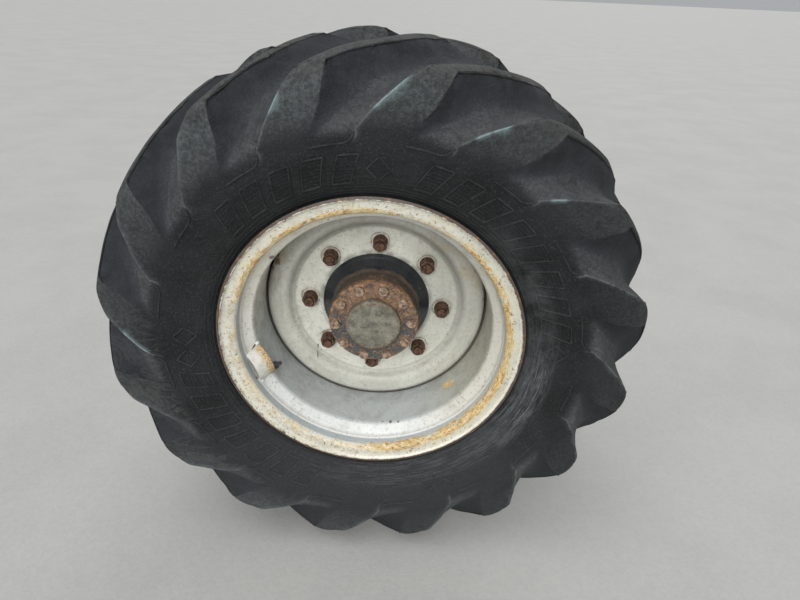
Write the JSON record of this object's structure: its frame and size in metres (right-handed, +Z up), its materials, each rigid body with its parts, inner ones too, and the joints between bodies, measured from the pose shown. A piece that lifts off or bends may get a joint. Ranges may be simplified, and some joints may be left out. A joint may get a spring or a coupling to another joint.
{
  "type": "dumper wheel and hub",
  "caption": "Lugged dumper wheel on a dished rim, with its hub, turning on the flanged end of an axle arm.",
  "frame": {"origin": "centre of the axle end's mounting face, on the axle's line", "axes": "+Y along the axle towards the machine, -Y out through the hub cover, +Z up"},
  "size_m": [1.0514, 0.433, 1.0514],
  "materials": {
    "tyre_rubber": "dusty worn rubber",
    "cream_paint": "cream paint with rust at its edges",
    "grey_paint": "pale grey paint with chips",
    "black_casting": "black paint on a casting",
    "rusty_casting": "rusted casting",
    "worn_cap": "speckled grey with rust",
    "rusty_steel": "dark brown rust",
    "rusty_bolt": "orange brown rust",
    "valve_rubber": "rubber covered stem",
    "valve_plastic": "dull black"
  },
  "bodies": {
    "axle": {"axle_end": "black_casting"},
    "wheel": {"tyre": "tyre_rubber", "rim": "cream_paint", "wheel_disc": "grey_paint", "disc_weld": "cream_paint", "hub": "black_casting", "hub_cover": "rusty_casting", "cover_cap": "worn_cap", "valve_guard": "cream_paint", "valve_stem": "valve_rubber", "valve_cap": "valve_plastic", "wheel_stud_1": "rusty_steel", "wheel_stud_2": "rusty_steel", "wheel_stud_3": "rusty_steel", "wheel_stud_4": "rusty_steel", "wheel_stud_5": "rusty_steel", "wheel_stud_6": "rusty_steel", "wheel_stud_7": "rusty_steel", "wheel_stud_8": "rusty_steel", "wheel_nut_1": "rusty_steel", "wheel_nut_2": "rusty_steel", "wheel_nut_3": "rusty_steel", "wheel_nut_4": "rusty_steel", "wheel_nut_5": "rusty_steel", "wheel_nut_6": "rusty_steel", "wheel_nut_7": "rusty_steel", "wheel_nut_8": "rusty_steel", "cover_bolt_01": "rusty_bolt", "cover_bolt_02": "rusty_bolt", "cover_bolt_03": "rusty_bolt", "cover_bolt_04": "rusty_bolt", "cover_bolt_05": "rusty_bolt", "cover_bolt_06": "rusty_bolt", "cover_bolt_07": "rusty_bolt", "cover_bolt_08": "rusty_bolt", "cover_bolt_09": "rusty_bolt", "cover_bolt_10": "rusty_bolt"}
  },
  "joints": [
    {"name": "wheel_spin", "type": "hinge", "parent": "axle", "child": "wheel", "pos_m": [0, -0.222, 0], "axis": [0, 1, 0], "continuous": true}
  ]
}
